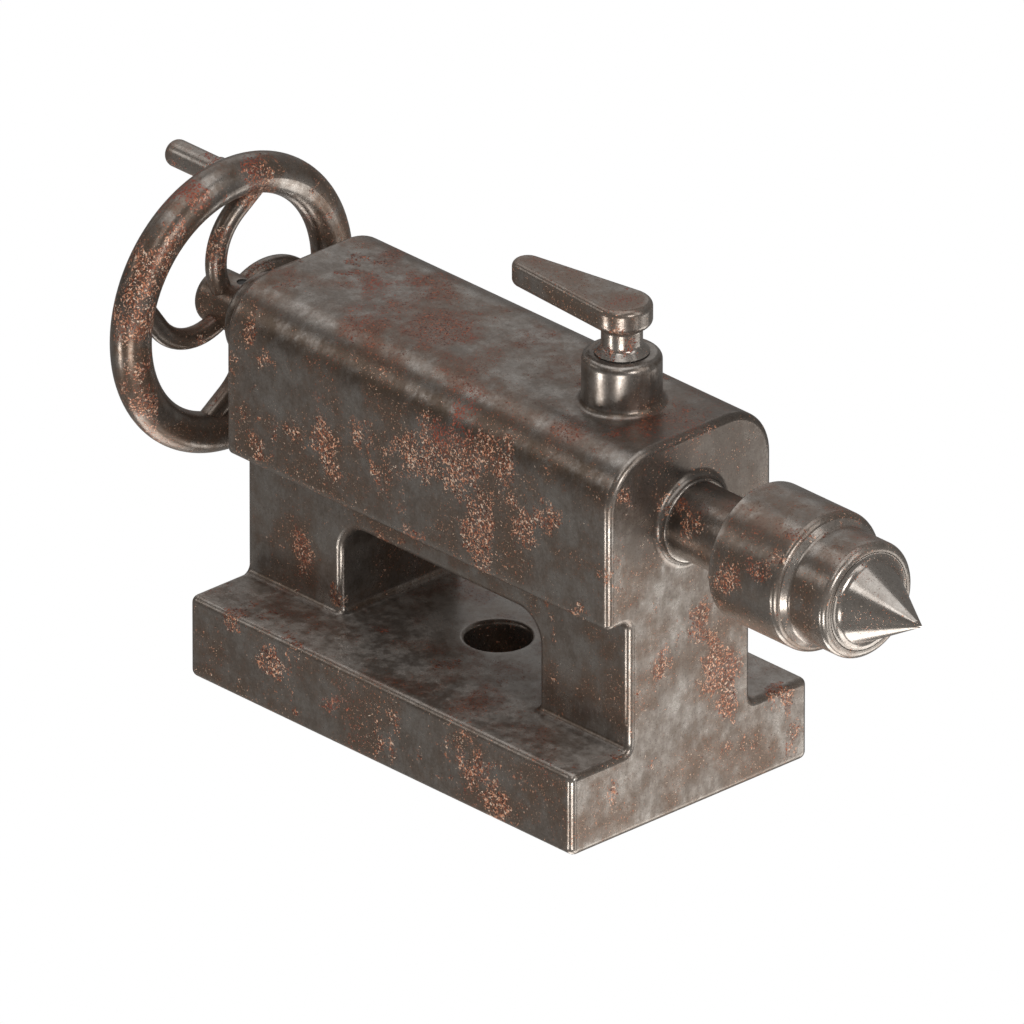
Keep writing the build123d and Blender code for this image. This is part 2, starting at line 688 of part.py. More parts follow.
def needle_shell():
    """Drawn cup of the needle bearing in the shank."""
    lip_r = TAIL_R + 0.3
    inner_r = NEEDLE_SHELL_R - NEEDLE_SHELL_WALL
    return at_head(
        turned_x(
            (NEEDLE_START, NEEDLE_SHELL_R),
            (NEEDLE_START, lip_r),
            (NEEDLE_START + NEEDLE_SHELL_WALL, lip_r),
            (NEEDLE_START + NEEDLE_SHELL_WALL, inner_r),
            (NEEDLE_END - NEEDLE_SHELL_WALL, inner_r),
            (NEEDLE_END - NEEDLE_SHELL_WALL, lip_r),
            (NEEDLE_END, lip_r),
            (NEEDLE_END, NEEDLE_SHELL_R),
        )
    )


# ---- live centre: rolling elements --------------------------------------------
def around_spindle(solid, count):
    """The same solid repeated in a circle about the spindle axis."""
    to_axis = Pos(0, 0, CENTRE_HEIGHT)
    return [to_axis * Rot(360 / count * index, 0, 0) * solid for index in range(count)]


def balls(middle, pitch_r, ball_r, count):
    ring = around_spindle(Pos(middle, 0, pitch_r) * Sphere(ball_r), count)
    return Compound([at_head(ball) for ball in ring])


def cage(middle, pitch_r, half_width, half_wall, pocket, count):
    """Ring between the races, with one pocket for each ball."""
    ring = ring_x(middle - half_width, middle + half_width, pitch_r - half_wall, pitch_r + half_wall)
    for cutter in around_spindle(Pos(middle, 0, pitch_r) * pocket, count):
        ring = ring - cutter
    return at_head(ring)


def bearing_cage():
    pocket = Sphere(BALL_R + BALL_GAP)
    return cage(BEARING_MID, BALL_PITCH_R, CAGE_HALF_WIDTH, CAGE_HALF_WALL, pocket, BALL_COUNT)


def thrust_cage():
    pocket = Rot(0, 90, 0) * Cylinder(THRUST_BALL_R + BALL_GAP, 4 * THRUST_CAGE_HALF_WIDTH)
    return cage(
        THRUST_MID,
        THRUST_PITCH_R,
        THRUST_CAGE_HALF_WIDTH,
        THRUST_CAGE_HALF_WALL,
        pocket,
        THRUST_BALL_COUNT,
    )


def needles():
    length = NEEDLE_END - NEEDLE_START - 1.4
    middle = (NEEDLE_START + NEEDLE_END) / 2
    needle = Pos(middle, 0, NEEDLE_PITCH_R) * Rot(0, 90, 0) * Cylinder(NEEDLE_R, length)
    return Compound([at_head(piece) for piece in around_spindle(needle, NEEDLE_COUNT)])


# ---- live centre: turning pieces ----------------------------------------------
def centre_point():
    """60 degree point with its nose, journals and tail."""
    cone_root_r = (POINT_TIP - CAP_END) * math.tan(math.radians(POINT_HALF_ANGLE))
    groove_start = THRUST_END + 0.1
    groove_r = JOURNAL_R - SNAP_RING_GROOVE
    tail_start = REAR_WALL + THRUST_WASHER_THICKNESS + 0.6
    return at_head(
        turned_x(
            (POINT_TIP, 0),
            (CAP_END, cone_root_r, POINT_ROOT_R),
            (CAP_END, FLANGE_R),
            (FLANGE_START, FLANGE_R),
            (FLANGE_START, NOSE_R),
            (BEARING_END, NOSE_R),
            (BEARING_END, JOURNAL_R),
            (BEARING_START, JOURNAL_R),
            (BEARING_START, groove_r),
            (groove_start, groove_r),
            (groove_start, JOURNAL_R),
            (THRUST_END, JOURNAL_R),
            (THRUST_END, WASHER_INNER_R - 0.02),
            (tail_start, WASHER_INNER_R - 0.02),
            (tail_start, TAIL_R),
            (NEEDLE_START - 1, TAIL_R, 0.5),
            (NEEDLE_START - 1, 0),
        )
    )


def bearing_snap_ring():
    """Split ring behind the bearing that keeps it on the point's journal."""
    ring = ring_x(THRUST_END + 0.15, BEARING_START, JOURNAL_R - SNAP_RING_GROOVE + 0.05, JOURNAL_R + 1.2)
    gap = Pos(THRUST_END + 0.6, 0, CENTRE_HEIGHT + JOURNAL_R) * Box(4, 2.2, 4.0)
    return at_head(ring - gap)


# ---- clamp --------------------------------------------------------------------
def clamp_pad():
    """Bronze plug with a hollow end that bears on the quill."""
    hollow = rod_x(LEVER_X - 2 * CLAMP_PAD_R, LEVER_X + 2 * CLAMP_PAD_R, QUILL_R + PAD_CLEARANCE)
    return rod_z(LEVER_X, PAD_BOTTOM_Z, PAD_TOP_Z, CLAMP_PAD_R) - hollow


def clamp_screw():
    """Screw pressed into the lever's neck; its end pushes the pad down."""
    return turned_z(
        LEVER_X,
        (0, PAD_TOP_Z),
        (CLAMP_SCREW_STEM_R, PAD_TOP_Z),
        (CLAMP_SCREW_STEM_R, PAD_TOP_Z + 2.5),
        (CLAMP_SCREW_R, PAD_TOP_Z + 3.5),
        (CLAMP_SCREW_R, CLAMP_SCREW_STEP_Z),
        (CLAMP_SCREW_STEM_R, CLAMP_SCREW_STEP_Z),
        (CLAMP_SCREW_STEM_R, CLAMP_SCREW_TOP_Z, 0.5),
        (0, CLAMP_SCREW_TOP_Z),
    )


def lever_arm():
    """Flat arm that tapers from the hub's round end to the tip's, with rounded edges."""
    lean = math.acos((LEVER_HUB_R - LEVER_TIP_R) / LEVER_REACH)
    hub_x = LEVER_HUB_R * math.cos(lean)
    hub_y = LEVER_HUB_R * math.sin(lean)
    tip_x = LEVER_REACH + LEVER_TIP_R * math.cos(lean)
    tip_y = LEVER_TIP_R * math.sin(lean)
    plan = make_face(
        [
            Line((hub_x, hub_y), (tip_x, tip_y)),
            ThreePointArc((tip_x, tip_y), (LEVER_REACH + LEVER_TIP_R, 0), (tip_x, -tip_y)),
            Line((tip_x, -tip_y), (hub_x, -hub_y)),
            ThreePointArc((hub_x, -hub_y), (-LEVER_HUB_R, 0), (hub_x, hub_y)),
        ]
    )
    arm = extrude(plan, LEVER_TOP_Z - LEVER_BOTTOM_Z)
    arm = fillet(arm.edges().group_by(Axis.Z)[-1], LEVER_EDGE_R)
    return fillet(arm.edges().group_by(Axis.Z)[0], LEVER_EDGE_R)


def clamp_lever():
    """Tapering hand lever on a waisted neck."""
    arm = Pos(LEVER_X, 0, LEVER_BOTTOM_Z) * Rot(0, 0, LEVER_REST_DEG) * lever_arm()
    neck = turned_z(
        LEVER_X,
        (0, LEVER_FOOT_Z),
        (LEVER_NECK_R + LEVER_NECK_FLARE, LEVER_FOOT_Z),
        (LEVER_NECK_R + LEVER_NECK_FLARE, LEVER_FOOT_Z + 0.05),
        (LEVER_NECK_R, LEVER_FOOT_Z + LEVER_NECK_FLARE, 1.8),
        (LEVER_NECK_R, LEVER_BOTTOM_Z - 1.0, 1.2),
        (LEVER_NECK_R + LEVER_HEAD_FLARE, LEVER_BOTTOM_Z + 0.6),
        (LEVER_NECK_R + LEVER_HEAD_FLARE, LEVER_BOTTOM_Z + 1.6),
        (0, LEVER_BOTTOM_Z + 1.6),
    )
    stem_bore = rod_z(LEVER_X, LEVER_FOOT_Z - OVERLAP, CLAMP_SCREW_TOP_Z + 0.3, CLAMP_SCREW_STEM_R)
    screw_bore = rod_z(LEVER_X, LEVER_FOOT_Z - OVERLAP, CLAMP_SCREW_STEP_Z, CLAMP_SCREW_R + 0.02)
    return arm + neck - stem_bore - screw_bore


# ---- all pieces ---------------------------------------------------------------
def build():
    return {
        "body_casting": body_casting(),
        "guide_screw": guide_screw(),
        "lock_screw": lock_screw(),
        "screw_bearing_housing": screw_bearing_housing(),
        "screw_bush": screw_bush(),
        "front_thrust_washer": front_thrust_washer(),
        "rear_thrust_washer": rear_thrust_washer(),
        "leadscrew": leadscrew(),
        "handwheel": handwheel(),
        "handwheel_pin": handwheel_pin(),
        "handle_stem": handle_stem(),
        "crank_handle": crank_handle(),
        "handle_snap_ring": handle_snap_ring(),
        "quill": quill(),
        "quill_nut": quill_nut(),
        "nut_pin": nut_pin(),
        "centre_body": centre_body(),
        "centre_cap": centre_cap(),
        "nose_seal": nose_seal(),
        "bearing_outer_ring": bearing_outer_ring(),
        "thrust_fixed_washer": thrust_washer(REAR_WALL),
        "needle_shell": needle_shell(),
        "bearing_balls": balls(BEARING_MID, BALL_PITCH_R, BALL_R, BALL_COUNT),
        "bearing_cage": bearing_cage(),
        "thrust_balls": balls(THRUST_MID, THRUST_PITCH_R, THRUST_BALL_R, THRUST_BALL_COUNT),
        "thrust_cage": thrust_cage(),
        "needle_rollers": needles(),
        "centre_point": centre_point(),
        "bearing_inner_ring": bearing_inner_ring(),
        "thrust_turning_washer": thrust_washer(THRUST_END - THRUST_WASHER_THICKNESS),
        "bearing_snap_ring": bearing_snap_ring(),
        "clamp_pad": clamp_pad(),
        "clamp_screw": clamp_screw(),
        "clamp_lever": clamp_lever(),
    }


os.makedirs("parts", exist_ok=True)
for name, solid in build().items():
    export_step(solid, f"parts/{name}.step")
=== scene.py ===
import json
import math

import bpy
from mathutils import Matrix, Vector


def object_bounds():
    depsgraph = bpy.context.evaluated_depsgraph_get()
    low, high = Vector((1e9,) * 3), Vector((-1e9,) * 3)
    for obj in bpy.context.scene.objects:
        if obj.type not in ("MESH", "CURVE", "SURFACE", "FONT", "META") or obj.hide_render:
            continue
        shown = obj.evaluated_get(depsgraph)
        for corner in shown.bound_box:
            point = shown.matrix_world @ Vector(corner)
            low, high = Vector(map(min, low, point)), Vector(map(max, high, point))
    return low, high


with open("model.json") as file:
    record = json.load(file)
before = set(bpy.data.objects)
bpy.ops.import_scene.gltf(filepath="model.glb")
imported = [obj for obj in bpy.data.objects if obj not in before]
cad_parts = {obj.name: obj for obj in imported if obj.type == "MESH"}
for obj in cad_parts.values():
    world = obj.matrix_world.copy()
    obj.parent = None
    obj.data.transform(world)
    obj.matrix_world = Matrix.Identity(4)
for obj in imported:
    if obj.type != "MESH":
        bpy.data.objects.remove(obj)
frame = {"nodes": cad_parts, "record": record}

CAD_BOX = [list(corner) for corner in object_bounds()]
CENTRE = (Vector(CAD_BOX[0]) + Vector(CAD_BOX[1])) / 2
MM = 0.001
X, Y, Z = 0, 1, 2
WHITE = (1, 1, 1)

# ---- camera: a long lens from the front left, so that parallel edges stay parallel ----
VIEW_AZIMUTH = 46.67
VIEW_ELEVATION = 26.44
LENS_MM = 1640
SENSOR_MM = 36
VIEW_WIDTH = 316.1 * MM
AIM = Vector((6.26, 0, 73.05)) * MM
CLIP_START = 0.1
CLIP_DISTANCES = 3

# ---- studio: radiances are in scene units, soft boxes stand at LIGHT_DISTANCE metres ----
LIGHT_DISTANCE = 4.0
FLOOR_SIZE = 40.0
FLOOR_DROP = 0.2 * MM
ROOM_GLOW = 0.20
ROOM_COLOUR = (1.0, 0.96, 0.92)
WARM = (1.0, 0.97, 0.93)
# name, azimuth, elevation, width and height in degrees, radiance, colour
SOFT_BOXES = (
    ("overhead", 0, 88, 50, 50, 1.25, WHITE),
    ("left_back", -120, 32, 60, 34, 0.38, WHITE),
    ("left_high", -82, 52, 24, 12, 1.3, WHITE),
    ("left_front_high", -47, 26, 22, 14, 1.4, WHITE),
    ("near_camera_high", 30, 50, 18, 14, 3.0, WHITE),
    ("front_right_level", 80, 18, 18, 16, 9.5, WHITE),
    ("low_front_left", -17, -26, 10, 13, 12.0, WARM),
    ("low_front", 43, -26, 19, 13, 10.0, WARM),
    ("low_front_right", 98, -24, 16, 20, 1.8, WARM),
    ("low_right", 108, -58, 44, 28, 2.6, WARM),
    ("low_far_right", 142, -36, 32, 20, 2.2, WARM),
    ("right_column", 110, 30, 14, 46, 2.2, WHITE),
    ("below", -75, -80, 34, 34, 3.7, WARM),
)

# ---- colours of worn metal, from bare to rusted, and of painted shade ----
DARK_METAL = (0.225, 0.193, 0.168)
MID_METAL = (0.298, 0.266, 0.240)
PALE_METAL = (0.380, 0.352, 0.325)
POLISHED = (0.64, 0.60, 0.555)
PATINA = (0.165, 0.108, 0.074)
DUST = (0.36, 0.325, 0.295)
STAIN = (0.18, 0.085, 0.058)
# painted shade: colour of the dark patches on the front face round the live center
PAINTED_SHADE = (0.13, 0.11, 0.095)
# painted shade: colour of the dark band on surfaces that lean outwards and up
SHOULDER_SHADE_BROWN = (0.115, 0.080, 0.055)
DEEP_RED = (0.38, 0.062, 0.034)
PIT_BLACK = (0.03, 0.022, 0.018)
RUST_STOPS = (
    (0.0, (0.045, 0.016, 0.010)),
    (0.22, (0.28, 0.068, 0.032)),
    (0.48, (0.66, 0.255, 0.135)),
    (0.76, (0.98, 0.54, 0.35)),
    (1.0, (1.0, 0.82, 0.66)),
)

# ---- sizes of the patterns, in mm, and the height range where the base's dust ends ----
CLOUD_MM = 11
STREAK_MM = 2.6
BROWN_MM = 20
PATCH_MM = 14
RED_MM = 30
GRAIN_MM = 0.60
SPARKLE_MM = 0.75
TONE_MM = 0.7
SKIN_MM = 1.1
SKIN_DEPTH_MM = 0.05
CRUST_DEPTH_MM = 0.12
EDGE_REACH_MM = 3.2
LEDGE_FADE = (30 * MM, 36 * MM)

# ---- how strong each effect is: shares run from 0 to 1 ----
CLOUD_SHARE = 0.68
BROWN_SHARE = 0.78
PATCH_CONTRAST = 1.5
GATHER = 0.235
STAIN_GATHER = 0.13
RED_SHARE = 0.85
# how far the painted shade round the live center darkens the metal
PAINTED_SHADE_SHARE = 0.75
EDGE_WEAR = 0.85
PIT_CHANCE = 0.13
EDGE_SAMPLES = 5

# ---- faces that carry spots, by the coordinate of their plane in mm ----
HOUSING_SIDE = -35
BASE_SIDE = -50
FRONT_FACE = 86
HOUSING_TOP = 129
WHEEL_FACE = -116


def spots_on(axis, place, *spots):
    """Spots on a plane across one axis; each spot is its two other coordinates and a radius."""
    return [(*spot[:axis], place, *spot[axis:]) for spot in spots]


# each spot is x, y, z and radius, in mm
RUST_SPOTS = (
    *spots_on(
        Y, HOUSING_SIDE,
        (-8, 96, 13), (-24, 101, 7), (9, 108, 13), (29, 103, 14), (27, 86, 10), (4, 100, 9),
        (18, 98, 10), (19, 107, 9), (28, 95, 10), (-2, 106, 6), (47, 93, 6), (64, 104, 5),
        (40, 80, 5), (-41, 91, 6), (-37, 82, 4), (-83, 104, 5), (-68, 110, 4),
    ),
    *spots_on(Y, BASE_SIDE, (-51, 18, 6), (-18, 15, 9), (40, 17, 14), (52, 9, 7), (-67, 26, 5)),
    *spots_on(
        X, FRONT_FACE,
        (11, 45, 12), (5, 63, 8), (-31, 100, 5), (39, 25, 7), (14, 30, 7), (-14, 54, 6),
    ),
    *spots_on(
        X, WHEEL_FACE,
        (-47, 114, 11), (-44, 122, 9), (-37, 128, 8), (-30, 137, 6), (7, 142, 11), (-45, 91, 8),
        (-41, 81, 6), (34, 121, 5),
    ),
    # housing shoulder
    (38, -34, 112, 9), (18, -31, 122, 7), (-76, -33, 116, 3),
    # rear leg
    (-59, -26, 45, 5), (-46, -26, 33, 5),
    # quill and head of the live center
    (88, -11, 109, 6), (100, -11, 106, 7), (127, -23, 101, 6), (147, -11, 119, 4), (138, -22, 108, 5),
    # handwheel rim and spoke
    (-118, -19, 144, 6), (-117, -8, 123, 8),
)
RED_SPOTS = (
    (18, -31, 122, 9), (11, -34, 114, 5), (-40, -33, 122, 7),
    *spots_on(Z, HOUSING_TOP, (-51, 3, 9)),
)
STAIN_SPOTS = (
    (15, -28, 124, 9), (56, -22, 128, 9), (29, HOUSING_SIDE, 28, 11),
    *spots_on(
        Z, HOUSING_TOP,
        (-51, 3, 17), (-42, -17, 12), (-18, -7, 13), (5, 12, 9), (70, -10, 9), (-66, 15, 8),
    ),
)
# painted shade: dark patches on the front face round the quill and on its collar, standing in for the
# shade of the live center's head
PAINTED_SHADE_SPOTS = (
    *spots_on(X, FRONT_FACE, (16, 116, 24), (-8, 121, 14), (-18, 100, 10)),
    (89, 0, 114, 8),
)


# ---- nodes --------------------------------------------------------------------
class Graph:
    """A material's node tree, with one short call for each kind of node."""

    def __init__(self, name):
        self.material = bpy.data.materials.new(name)
        self.material.use_nodes = True
        self.tree = self.material.node_tree
        self.shader = self.tree.nodes["Principled BSDF"]
        coordinates = self.tree.nodes.new("ShaderNodeTexCoord")
        self.place = coordinates.outputs["Object"]
        self.facing = coordinates.outputs["Normal"]

    def feed(self, socket, value):
        """Link a socket to the socket, or set it to a constant."""
        if isinstance(value, bpy.types.NodeSocket):
            self.tree.links.new(value, socket)
        else:
            socket.default_value = value

    def set(self, **values):
        """Set the shader's sockets; underscores in a name stand for spaces."""
        for name, value in values.items():
            self.feed(self.shader.inputs[name.replace("_", " ")], value)

    def math(self, operation, *values, clamp=False):
        node = self.tree.nodes.new("ShaderNodeMath")
        node.operation = operation
        node.use_clamp = clamp
        for socket, value in zip(node.inputs, values):
            self.feed(socket, value)
        return node.outputs[0]

    def plus(self, first, second):
        return self.math("ADD", first, second)

    def minus(self, first, second):
        return self.math("SUBTRACT", first, second)

    def times(self, first, second):
        return self.math("MULTIPLY", first, second)

    def larger(self, first, second):
        return self.math("MAXIMUM", first, second)

    def stretched(self, scale=(1, 1, 1), offset=(0, 0, 0)):
        """The surface point, scaled and moved."""
        node = self.tree.nodes.new("ShaderNodeMapping")
        self.feed(node.inputs["Vector"], self.place)
        node.inputs["Scale"].default_value = scale
        node.inputs["Location"].default_value = offset
        return node.outputs[0]

    def noise(self, place, size_mm, detail=5.0, roughness=0.55, distortion=0.0):
        node = self.tree.nodes.new("ShaderNodeTexNoise")
        self.feed(node.inputs["Vector"], place)
        node.inputs["Scale"].default_value = 1 / (size_mm * MM)
        node.inputs["Detail"].default_value = detail
        node.inputs["Roughness"].default_value = roughness
        node.inputs["Distortion"].default_value = distortion
        return node.outputs["Fac"]

    def cells(self, place, size_mm):
        """Distance to the nearest grain's middle, and three random numbers for that grain."""
        node = self.tree.nodes.new("ShaderNodeTexVoronoi")
        self.feed(node.inputs["Vector"], place)
        node.inputs["Scale"].default_value = 1 / (size_mm * MM)
        split = self.tree.nodes.new("ShaderNodeSeparateColor")
        self.feed(split.inputs[0], node.outputs["Color"])
        return node.outputs["Distance"], split.outputs[0], split.outputs[1], split.outputs[2]

    def step(self, value, low, high, out_low=0.0, out_high=1.0):
        """Smooth change from out_low to out_high as value goes from low to high."""
        node = self.tree.nodes.new("ShaderNodeMapRange")
        node.interpolation_type = "SMOOTHSTEP"
        for socket, given in zip(node.inputs, (value, low, high, out_low, out_high)):
            self.feed(socket, given)
        return node.outputs[0]

    def ramp(self, value, *stops):
        """Colour ramp through stops of position and colour."""
        node = self.tree.nodes.new("ShaderNodeValToRGB")
        self.feed(node.inputs[0], value)
        elements = node.color_ramp.elements
        while len(elements) < len(stops):
            elements.new(0.5)
        for element, (position, colour) in zip(elements, stops):
            element.position = position
            element.color = (*colour, 1)
        return node.outputs[0]

    def mix(self, share, first, second, blend="MIX"):
        """Colour that goes from first to second as share goes from 0 to 1."""
        node = self.tree.nodes.new("ShaderNodeMix")
        node.data_type = "RGBA"
        node.blend_type = blend
        self.feed(node.inputs[0], share)
        for socket, value in ((node.inputs[6], first), (node.inputs[7], second)):
            self.feed(socket, (*value, 1) if isinstance(value, tuple) else value)
        return node.outputs[2]

    def bump(self, height, depth_mm, strength=1.0, onto=None):
        node = self.tree.nodes.new("ShaderNodeBump")
        self.feed(node.inputs["Height"], height)
        node.inputs["Distance"].default_value = depth_mm * MM
        self.feed(node.inputs["Strength"], strength)
        if onto is not None:
            self.feed(node.inputs["Normal"], onto)
        return node.outputs[0]

    def nearness(self, spots):
        """1 at the middle of any of the spots, falling to 0 a little outside its radius."""
        total = None
        for x, y, z, radius in spots:
            away = self.tree.nodes.new("ShaderNodeVectorMath")
            away.operation = "DISTANCE"
            self.feed(away.inputs[0], self.place)
            away.inputs[1].default_value = (x * MM, y * MM, z * MM)
            inner = 0.3 * radius * MM
            outer = 1.5 * radius * MM
            share = self.step(away.outputs["Value"], inner, outer, 1.0, 0.0)
            total = share if total is None else self.larger(total, share)
        return total

    def edges(self, reach_mm):
        """1 on outward edges and thin bars, 0 on broad faces and in hollows."""
        node = self.tree.nodes.new("ShaderNodeAmbientOcclusion")
        node.inside = True
        node.only_local = True
        node.samples = EDGE_SAMPLES
        node.inputs["Distance"].default_value = reach_mm * MM
        return self.step(node.outputs["AO"], 0.62, 0.97, 1.0, 0.0)

    def upright(self, vector):
        """The upright component of a vector."""
        split = self.tree.nodes.new("ShaderNodeSeparateXYZ")
        self.feed(split.inputs[0], vector)
        return split.outputs[Z]


# ---- worn metal ---------------------------------------------------------------
def clouded_metal(g, shift):
    """Grey metal with soft clouds and short upright streaks; also the cloud pattern itself."""
    clouds = g.noise(g.stretched(offset=shift), CLOUD_MM, detail=9, roughness=0.72)
    streak_place = g.stretched(scale=(1, 1, 0.45), offset=shift)
    streaks = g.noise(streak_place, STREAK_MM, detail=5, roughness=0.66)
    mottle = g.plus(g.times(clouds, CLOUD_SHARE), g.times(streaks, 1 - CLOUD_SHARE))
    metal = g.ramp(mottle, (0.43, DARK_METAL), (0.5, MID_METAL), (0.585, PALE_METAL))
    return metal, mottle


def shaded_shoulders(g, metal, mottle, slope):
    """Painted shade: a dark brown band on surfaces that lean outwards and up, set by which way they
    face.
    """
    shoulder = g.times(g.step(slope, 0.15, 0.45), g.step(slope, 0.62, 0.84, 1.0, 0.0))
    shoulder_shade_share = g.times(shoulder, g.step(mottle, 0.60, 0.42, 0.35, 0.80))
    return g.mix(shoulder_shade_share, metal, SHOULDER_SHADE_BROWN)


def dusty_ledge(g, mottle, slope):
    """Share of pale dust: only on the flat top of the base."""
    low_down = g.step(g.upright(g.place), *LEDGE_FADE, 1.0, 0.0)
    ledge = g.times(g.step(slope, 0.80, 0.95), low_down)
    return g.times(ledge, g.step(mottle, 0.42, 0.58, 0.25, 0.60))


def rust_patches(g, shift, rust):
    """Where rust gathers: a sharp share for the grains, a wide one for the stain round them."""
    patch_place = g.stretched(scale=(1, 1, 0.8), offset=shift)
    patch_noise = g.noise(patch_place, PATCH_MM, detail=11, roughness=0.70, distortion=0.2)
    uneven = g.math("MULTIPLY_ADD", patch_noise, PATCH_CONTRAST, 0.5 - 0.5 * PATCH_CONTRAST)
    patch = g.plus(uneven, g.times(g.nearness(RUST_SPOTS), GATHER))
    edge = 0.625 - 0.025 * rust
    return g.step(patch, edge - 0.030, edge + 0.120), g.step(patch, edge, edge + 0.20)


def rust_grains(g, curls, wanted):
    """Curls of fine noise, let through where rust is wanted."""
    level = g.minus(0.725, g.times(wanted, 0.215))
    return g.step(curls, level, g.plus(level, 0.035))


def rust_colour(g, seed, shade, flat_top):
    """Each grain has its own shade, darker on flat tops, and some zones are deep red."""
    red_noise = g.noise(g.stretched(offset=(0.5, seed, 0.2)), RED_MM, detail=3)
    red_patches = g.step(red_noise, 0.54, 0.64, 0.0, 0.5)
    red_zone = g.larger(red_patches, g.times(g.nearness(RED_SPOTS), RED_SHARE))
    rust_shade = g.times(shade, g.step(flat_top, 0.0, 1.0, 1.0, 0.36))
    return g.mix(red_zone, g.ramp(rust_shade, *RUST_STOPS), DEEP_RED)


def fine_tone(g, colour, distance, chance):
    """Fine light and dark, and a black pit in the middle of a few grains."""
    tone = g.noise(g.place, TONE_MM, detail=3, roughness=0.6)
    tone_colour = g.ramp(tone, (0.3, (0.74, 0.74, 0.74)), (0.7, WHITE))
    colour = g.mix(1.0, colour, tone_colour, "MULTIPLY")
    pit = g.step(distance, 0.10, 0.20, 1.0, 0.0)
    return g.mix(g.times(pit, g.math("LESS_THAN", chance, PIT_CHANCE)), colour, PIT_BLACK)


def worn_roughness(g, mottle, halo, worn, grain, polish):
    """Duller on rust and its stain, smoother on worn edges and polished metal."""
    smooth = 0.290 - 0.06 * polish
    roughness = g.step(mottle, 0.38, 0.62, smooth + 0.05, smooth - 0.03)
    roughness = g.plus(roughness, g.times(halo, 0.08))
    roughness = g.minus(roughness, g.times(worn, 0.06))
    return g.math("ADD", roughness, g.times(grain, 0.15), clamp=True)


def crust_share(g, brown, grain, dusty):
    """Share of the surface that is oxide or dust and not metal."""
    crust = g.larger(g.math("MULTIPLY_ADD", brown, 0.30, 0.12), g.times(grain, 0.70))
    return g.math("MAXIMUM", crust, g.times(dusty, 1.3), clamp=True)


def relief(g, grain, depth):
    """A fine skin with the rust grains standing on it."""
    skin_noise = g.noise(g.place, SKIN_MM, detail=4, roughness=0.6)
    skin = g.bump(skin_noise, SKIN_DEPTH_MM, strength=0.30)
    return g.bump(g.times(grain, depth), CRUST_DEPTH_MM, strength=0.8, onto=skin)


def worn_metal(name, rust=1.0, patina=1.0, polish=0.0, seed=0.0):
    """Dark metal with clouds, brown patina and clusters of curly rust grains.

    rust and patina scale how much of each there is; polish makes the bare metal
    paler and smoother; seed moves the pattern.
    """
    g = Graph(name)
    shift = (seed, seed * 0.7, -seed * 0.4)
    slope = g.upright(g.facing)
    flat_top = g.step(slope, 0.55, 0.9)

    metal, mottle = clouded_metal(g, shift)
    brown_place = g.stretched(offset=(0.31 + seed, 0.2, 0.1))
    brown_noise = g.noise(brown_place, BROWN_MM, detail=9, roughness=0.66)
    brown = g.step(brown_noise, 0.40, 0.62, 0.0, BROWN_SHARE * patina)
    metal = g.mix(brown, metal, PATINA)
    # painted shade on surfaces that lean outwards and up
    metal = shaded_shoulders(g, metal, mottle, slope)
    dusty = dusty_ledge(g, mottle, slope)
    metal = g.mix(dusty, metal, DUST)

    # rust is wanted in its patches, thinly over the brown patina, and in stains on flat tops
    density, halo = rust_patches(g, shift, rust)
    sprinkle = g.step(brown_noise, 0.42, 0.60, 0.05, 0.50)
    soaked = g.plus(brown_noise, g.times(g.nearness(STAIN_SPOTS), STAIN_GATHER))
    top_stain = g.times(g.step(soaked, 0.50, 0.68), flat_top)
    wanted = g.larger(density, g.larger(sprinkle, g.times(top_stain, 0.88)))
    curls = g.noise(g.place, GRAIN_MM, detail=2, roughness=0.55, distortion=0.5)
    grain = rust_grains(g, curls, wanted)
    distance, chance, shade, depth = g.cells(g.place, SPARKLE_MM)

    # under the grains: stain round the patches, bare metal on worn edges, painted shade on the front
    # face round the live center
    stain_limit = g.step(flat_top, 0.0, 1.0, 0.40, 0.52)
    metal = g.mix(g.times(g.larger(halo, top_stain), stain_limit), metal, STAIN)
    worn = g.times(g.edges(EDGE_REACH_MM), g.step(curls, 0.30, 0.50, 0.55, 1.0))
    bare = g.larger(g.times(worn, EDGE_WEAR), 0.55 * polish)
    metal = g.mix(bare, metal, g.mix(0.5, POLISHED, metal))
    # painted shade on the front face round the live center
    metal = g.mix(g.times(g.nearness(PAINTED_SHADE_SPOTS), PAINTED_SHADE_SHARE), metal, PAINTED_SHADE)

    colour = g.mix(grain, metal, rust_colour(g, seed, shade, flat_top))
    g.set(
        Base_Color=fine_tone(g, colour, distance, chance),
        Roughness=worn_roughness(g, mottle, halo, worn, grain, polish),
        Metallic=g.minus(1.0, crust_share(g, brown, grain, dusty)),
        Normal=relief(g, grain, depth),
    )
    return g.material


# ---- clean inner materials ----------------------------------------------------
def machined(name, dark, pale, roughness, ring_mm=0.35, metallic=1.0):
    """Turned metal: fine rings along the spindle axis, with slight clouding."""
    g = Graph(name)
    clouds = g.noise(g.place, 9, detail=4)
    rings = g.noise(g.stretched(scale=(1, 0.02, 0.02)), ring_mm, detail=2, roughness=0.7)
    g.set(
        Base_Color=g.mix(clouds, dark, pale),
        Roughness=g.step(rings, 0.3, 0.7, roughness - 0.05, roughness + 0.08),
        Normal=g.bump(rings, 0.02, strength=0.3),
        Metallic=metallic,
    )
    return g.material


def rubber(name):
    """Black rubber with a little dust."""
    g = Graph(name)
    dust = g.noise(g.place, 3, detail=6, roughness=0.7)
    g.set(
        Base_Color=g.mix(dust, (0.012, 0.012, 0.012), (0.045, 0.043, 0.04)),
        Roughness=g.step(dust, 0.3, 0.7, 0.55, 0.75),
        Normal=g.bump(g.noise(g.place, 0.4, detail=3), 0.04, strength=0.4),
    )
    return g.material


